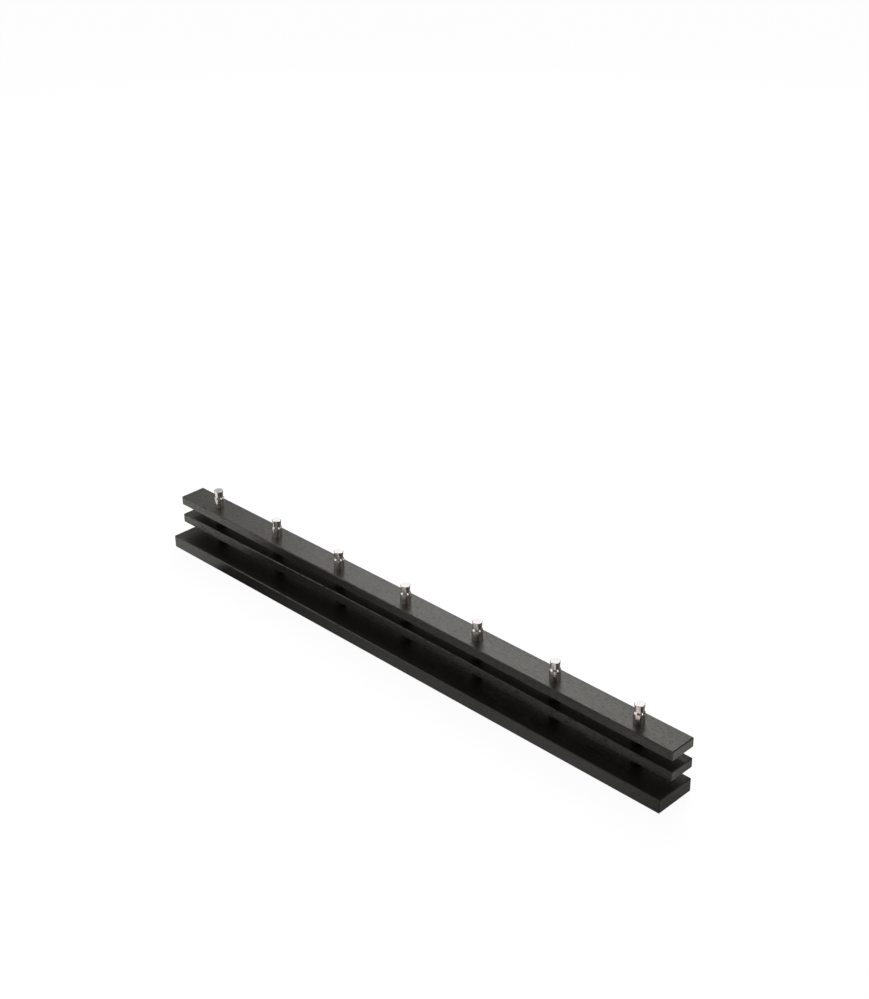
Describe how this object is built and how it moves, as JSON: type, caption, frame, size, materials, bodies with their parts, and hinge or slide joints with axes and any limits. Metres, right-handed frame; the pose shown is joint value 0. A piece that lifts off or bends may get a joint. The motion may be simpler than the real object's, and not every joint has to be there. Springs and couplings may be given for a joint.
{
  "type": "wall coat rack",
  "caption": "Wall coat rack: black-stained timber slats stood off a wall board on spacers, with turned steel pegs for coats and keyhole hangers at the back.",
  "frame": {"origin": "centre of the wall board's back face", "axes": "+X along the rack, +Y across it towards the flush edge, which is the top edge on a wall, +Z out from the wall"},
  "size_m": [1, 0.0705, 0.1135],
  "materials": {
    "stained_wood": "black stain under satin lacquer",
    "polished_steel": "polished stainless steel",
    "black_sleeve": "matt black",
    "zinc_plated_steel": "bright zinc plating"
  },
  "bodies": {
    "root": {"wall_board": "stained_wood", "middle_slat": "stained_wood", "front_slat": "stained_wood", "peg_1": "polished_steel", "peg_2": "polished_steel", "peg_3": "polished_steel", "peg_4": "polished_steel", "peg_5": "polished_steel", "peg_6": "polished_steel", "peg_7": "polished_steel", "rear_spacer_1": "black_sleeve", "rear_spacer_2": "black_sleeve", "rear_spacer_3": "black_sleeve", "rear_spacer_4": "black_sleeve", "rear_spacer_5": "black_sleeve", "rear_spacer_6": "black_sleeve", "rear_spacer_7": "black_sleeve", "front_spacer_1": "black_sleeve", "front_spacer_2": "black_sleeve", "front_spacer_3": "black_sleeve", "front_spacer_4": "black_sleeve", "front_spacer_5": "black_sleeve", "front_spacer_6": "black_sleeve", "front_spacer_7": "black_sleeve", "peg_bolts": "zinc_plated_steel", "bolt_washers": "zinc_plated_steel", "keyhole_hanger_left": "zinc_plated_steel", "keyhole_hanger_right": "zinc_plated_steel", "hanger_screws": "zinc_plated_steel"}
  },
  "joints": []
}
